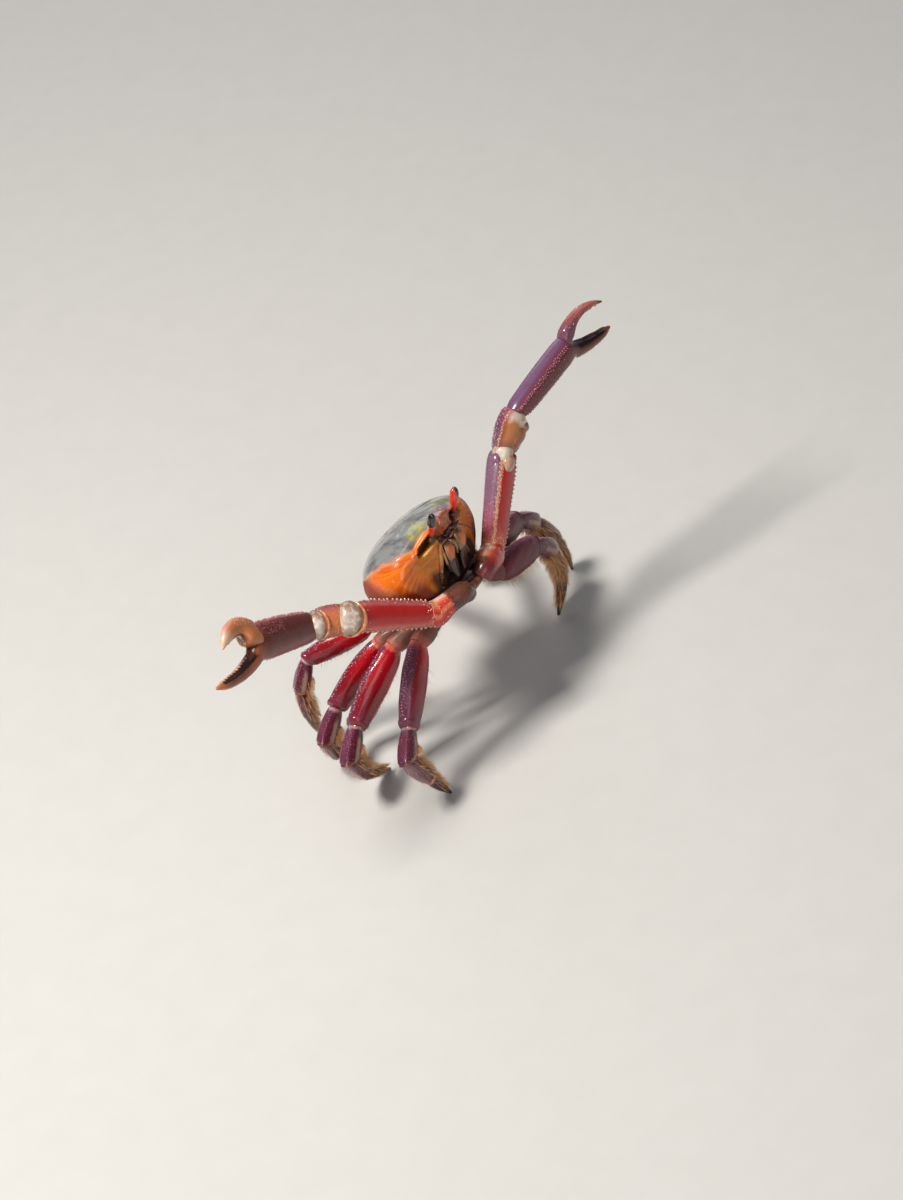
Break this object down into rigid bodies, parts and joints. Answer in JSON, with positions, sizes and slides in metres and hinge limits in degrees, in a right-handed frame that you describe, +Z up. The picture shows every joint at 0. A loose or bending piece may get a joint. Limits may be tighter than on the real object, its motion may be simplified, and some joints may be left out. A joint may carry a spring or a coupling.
{
  "type": "land crab",
  "caption": "Land crab rearing in a threat posture, claws spread wide, standing on slender hairy walking legs.",
  "frame": {"origin": "on the floor, midway along the length and the width of the box around the whole animal", "axes": "+Z up, the crab's face looks along -Y, its own left side is towards +X"},
  "size_m": [0.2586, 0.1076, 0.1447],
  "materials": {
    "carapace_shell": "glossy wet orange shell fading to blue-grey on the back",
    "underside_shell": "satin brown-pink shell with pale ridges",
    "eye_stalk": "glossy orange-red stalk with a black eye",
    "feeler": "satin dark purple-brown",
    "joint_shell": "satin pale pink-orange shell",
    "claw_arm_shell": "glossy red shell with pale spines",
    "claw_wrist_shell": "glossy purple and orange shell",
    "claw_palm_shell": "glossy purple shell with pale grains",
    "claw_finger_shell": "satin orange-brown shell",
    "leg_thigh_shell": "glossy deep red shell, purple along the top",
    "leg_knee_shell": "glossy purple shell",
    "leg_shin_shell": "purple shell with dense brown hair",
    "leg_tip_shell": "dark brown hairy claw tip"
  },
  "bodies": {
    "root": {"abdomen": "underside_shell", "antenna_L": "feeler", "antenna_R": "feeler", "carapace": "carapace_shell", "claw_L_carpus": "claw_wrist_shell", "claw_L_finger": "claw_finger_shell", "claw_L_hip": "joint_shell", "claw_L_merus": "claw_arm_shell", "claw_L_palm": "claw_palm_shell", "claw_R_carpus": "claw_wrist_shell", "claw_R_finger": "claw_finger_shell", "claw_R_hip": "joint_shell", "claw_R_merus": "claw_arm_shell", "claw_R_palm": "claw_palm_shell", "eye_L": "eye_stalk", "eye_R": "eye_stalk", "leg_L2_carpus": "leg_knee_shell", "leg_L2_dactyl": "leg_tip_shell", "leg_L2_hip": "joint_shell", "leg_L2_merus": "leg_thigh_shell", "leg_L2_propodus": "leg_shin_shell", "leg_L3_carpus": "leg_knee_shell", "leg_L3_dactyl": "leg_tip_shell", "leg_L3_hip": "joint_shell", "leg_L3_merus": "leg_thigh_shell", "leg_L3_propodus": "leg_shin_shell", "leg_L4_carpus": "leg_knee_shell", "leg_L4_dactyl": "leg_tip_shell", "leg_L4_hip": "joint_shell", "leg_L4_merus": "leg_thigh_shell", "leg_L4_propodus": "leg_shin_shell", "leg_L5_carpus": "leg_knee_shell", "leg_L5_dactyl": "leg_tip_shell", "leg_L5_hip": "joint_shell", "leg_L5_merus": "leg_thigh_shell", "leg_L5_propodus": "leg_shin_shell", "leg_R2_carpus": "leg_knee_shell", "leg_R2_dactyl": "leg_tip_shell", "leg_R2_hip": "joint_shell", "leg_R2_merus": "leg_thigh_shell", "leg_R2_propodus": "leg_shin_shell", "leg_R3_carpus": "leg_knee_shell", "leg_R3_dactyl": "leg_tip_shell", "leg_R3_hip": "joint_shell", "leg_R3_merus": "leg_thigh_shell", "leg_R3_propodus": "leg_shin_shell", "leg_R4_carpus": "leg_knee_shell", "leg_R4_dactyl": "leg_tip_shell", "leg_R4_hip": "joint_shell", "leg_R4_merus": "leg_thigh_shell", "leg_R4_propodus": "leg_shin_shell", "leg_R5_carpus": "leg_knee_shell", "leg_R5_dactyl": "leg_tip_shell", "leg_R5_hip": "joint_shell", "leg_R5_merus": "leg_thigh_shell", "leg_R5_propodus": "leg_shin_shell", "maxilliped_L": "underside_shell", "maxilliped_R": "underside_shell", "thorax": "underside_shell"}
  },
  "joints": []
}
